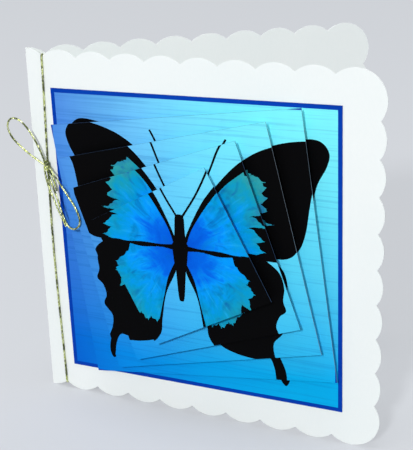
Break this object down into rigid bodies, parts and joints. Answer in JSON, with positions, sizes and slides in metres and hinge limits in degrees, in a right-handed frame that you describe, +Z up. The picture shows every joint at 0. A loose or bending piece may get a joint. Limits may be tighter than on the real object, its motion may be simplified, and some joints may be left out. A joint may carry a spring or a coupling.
{
  "type": "greeting card",
  "caption": "A folded white card with scalloped edges, a stepped, twisted stack of blue butterfly pictures on its front and a thin gold cord tied round the fold in a bow.",
  "frame": {"origin": "the middle of the card's footprint, at the height of its lowest scallops", "axes": "+Z is up, +X runs from the fold to the free edge of the front cover, and the front cover with its pictures faces -Y"},
  "size_m": [0.1534, 0.1096, 0.144],
  "materials": {
    "card": "matt white card",
    "sky_print": "satin print, sky blue",
    "border_print": "satin print, navy",
    "black_print": "satin print, black",
    "wing_blue_print": "satin print, bright blue",
    "foam_pad": "white foam",
    "cord": "twisted metallic thread, pale gold"
  },
  "bodies": {
    "root": {"base_picture": "sky_print", "base_picture_black": "black_print", "base_picture_border": "border_print", "card_blank": "card", "cord_knot": "cord", "cord_long_tail": "cord", "cord_lower_loop": "cord", "cord_short_tail": "cord", "cord_upper_loop": "cord", "cord_wrap": "cord", "layer_1": "sky_print", "layer_1_black": "black_print", "layer_1_border": "border_print", "layer_1_pad_1": "foam_pad", "layer_1_pad_2": "foam_pad", "layer_1_pad_3": "foam_pad", "layer_1_pad_4": "foam_pad", "layer_2": "sky_print", "layer_2_black": "black_print", "layer_2_blue": "wing_blue_print", "layer_2_pad_1": "foam_pad", "layer_2_pad_2": "foam_pad", "layer_2_pad_3": "foam_pad", "layer_2_pad_4": "foam_pad", "layer_3": "sky_print", "layer_3_black": "black_print", "layer_3_blue": "wing_blue_print", "layer_3_pad_1": "foam_pad", "layer_3_pad_2": "foam_pad", "layer_3_pad_3": "foam_pad", "layer_3_pad_4": "foam_pad", "layer_4": "sky_print", "layer_4_black": "black_print", "layer_4_blue": "wing_blue_print", "layer_4_pad_1": "foam_pad", "layer_4_pad_2": "foam_pad", "layer_4_pad_3": "foam_pad", "layer_4_pad_4": "foam_pad"}
  },
  "joints": []
}
